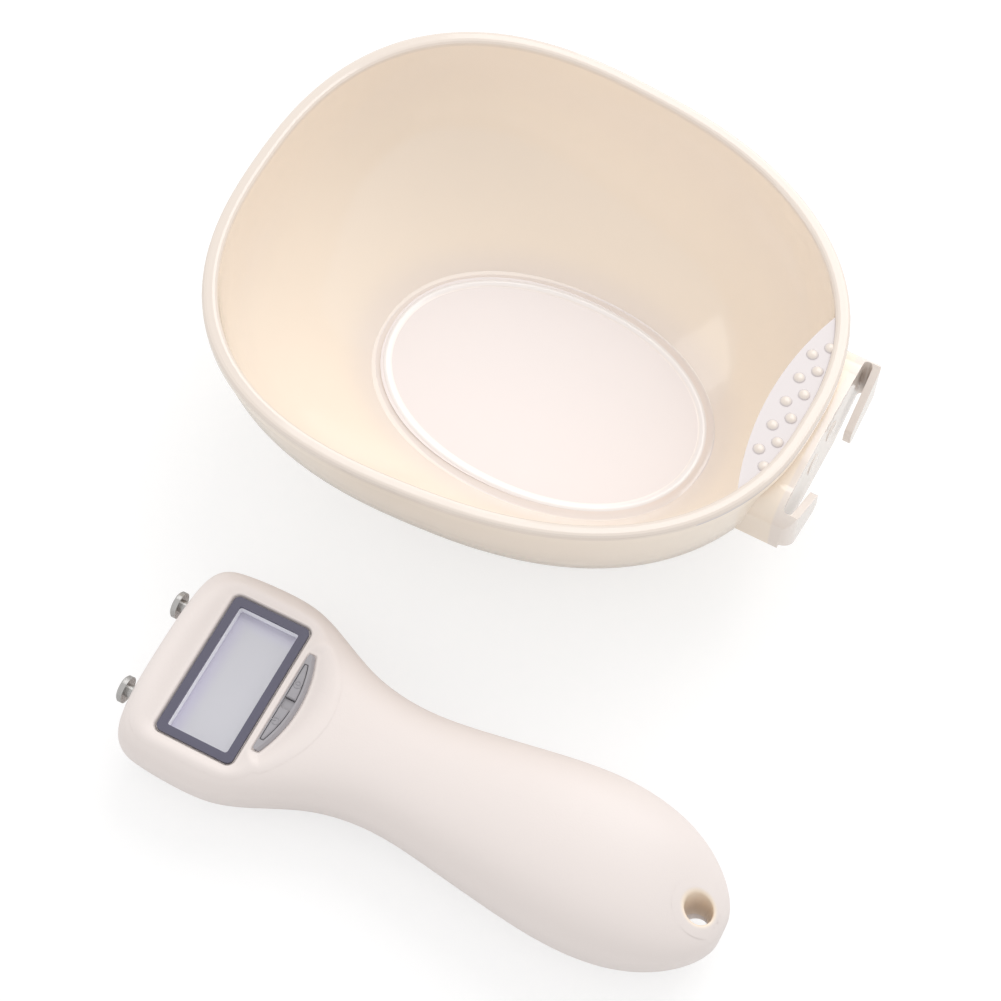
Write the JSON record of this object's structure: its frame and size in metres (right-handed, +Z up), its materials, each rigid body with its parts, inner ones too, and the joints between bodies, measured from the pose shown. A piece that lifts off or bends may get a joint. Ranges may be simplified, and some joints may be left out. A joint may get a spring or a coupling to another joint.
{
  "type": "digital spoon scale",
  "caption": "Kitchen scoop with a scale in its handle: oval bowl with a hook bracket, taken off the headed studs of a handle with display, keys and battery cover.",
  "frame": {"origin": "centre of the bowl's flat underside, at table level", "axes": "+X from the bowl's far end towards its hook bracket and from the handle's studs towards its tail, +Y from the handle towards the bowl, +Z up"},
  "size_m": [0.1442, 0.161, 0.0423],
  "materials": {
    "bowl_plastic": "glossy",
    "handle_plastic": "satin",
    "dark_border": "satin",
    "clear_pane": "clear",
    "display_glass": "matt film",
    "key_grey": "satin",
    "key_rim_grey": "satin",
    "steel": "bright",
    "beam_aluminium": "machined",
    "board_green": "solder mask",
    "black_resin": "matt",
    "white_plastic": "satin",
    "grey_rubber": "matt",
    "gauge_film": "foil",
    "wire_cover": "satin",
    "cell_sleeve": "satin"
  },
  "bodies": {
    "handle": {"top_shell": "handle_plastic", "bottom_shell": "handle_plastic", "shell_screws": "steel", "display_frame": "dark_border", "display_pane": "clear_pane", "lcd_panel": "display_glass", "lcd_holder": "white_plastic", "zebra_strips": "grey_rubber", "circuit_board": "board_green", "board_screws": "steel", "controller_chip": "black_resin", "power_switch": "black_resin", "unit_switch": "black_resin", "key_frame": "key_rim_grey", "load_cell": "beam_aluminium", "strain_gauges": "gauge_film", "load_cell_lead": "wire_cover", "load_cell_screws": "steel", "stud_bracket": "steel", "stud_bracket_screws": "steel", "stud_left": "steel", "stud_right": "steel", "battery_tray": "white_plastic", "tray_screws": "steel", "battery_1": "cell_sleeve", "battery_2": "cell_sleeve", "battery_springs": "steel", "battery_contacts": "steel", "battery_link": "steel", "battery_leads": "wire_cover"},
    "bowl": {"bowl": "bowl_plastic", "hook_bracket": "bowl_plastic", "bracket_screws": "steel"},
    "power_key": {"power_key": "key_grey"},
    "unit_key": {"unit_key": "key_grey"},
    "battery_cover": {"battery_cover": "handle_plastic"}
  },
  "joints": [
    {"name": "bowl_lift", "type": "slide", "parent": "handle", "child": "bowl", "axis": [0, 0, 1], "range_m": [0, 0.04]},
    {"name": "power_key_press", "type": "slide", "parent": "handle", "child": "power_key", "axis": [0, 0, -1], "range_m": [0, 0.0004], "stiffness_N_per_m": 600, "springref_m": -0.0002},
    {"name": "unit_key_press", "type": "slide", "parent": "handle", "child": "unit_key", "axis": [0, 0, -1], "range_m": [0, 0.0004], "stiffness_N_per_m": 600, "springref_m": -0.0002},
    {"name": "battery_cover_slide", "type": "slide", "parent": "handle", "child": "battery_cover", "axis": [1, 0, 0], "range_m": [0, 0.012]}
  ]
}
